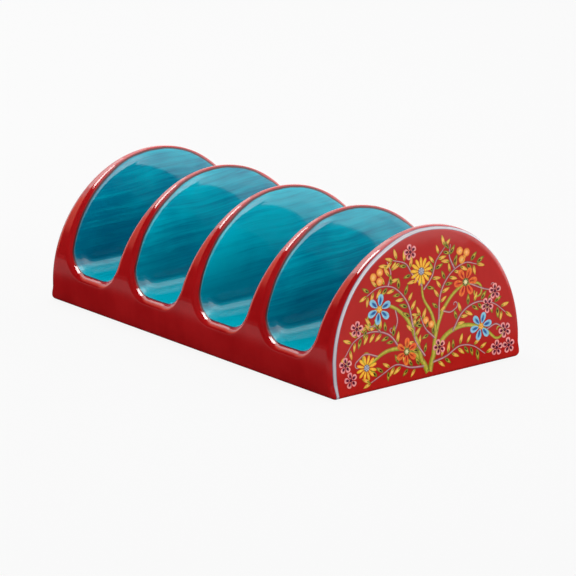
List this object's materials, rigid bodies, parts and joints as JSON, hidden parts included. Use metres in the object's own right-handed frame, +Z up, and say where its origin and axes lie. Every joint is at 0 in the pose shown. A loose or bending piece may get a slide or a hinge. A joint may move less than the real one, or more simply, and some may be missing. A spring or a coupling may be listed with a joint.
{
  "type": "taco holder",
  "caption": "Arched ceramic block with open cross slots between half-round fins, which hold filled tacos upright on the table.",
  "frame": {"origin": "middle of the foot, on the table under the centre of the body", "axes": "+X along the row of slots towards the decorated end that the picture shows, +Y across the body, along the slots, +Z up"},
  "size_m": [0.2398, 0.127, 0.0766],
  "materials": {
    "red_glaze": "gloss",
    "turquoise_glaze": "gloss",
    "decal": "gloss"
  },
  "bodies": {
    "root": {"holder": "red_glaze"}
  },
  "joints": []
}
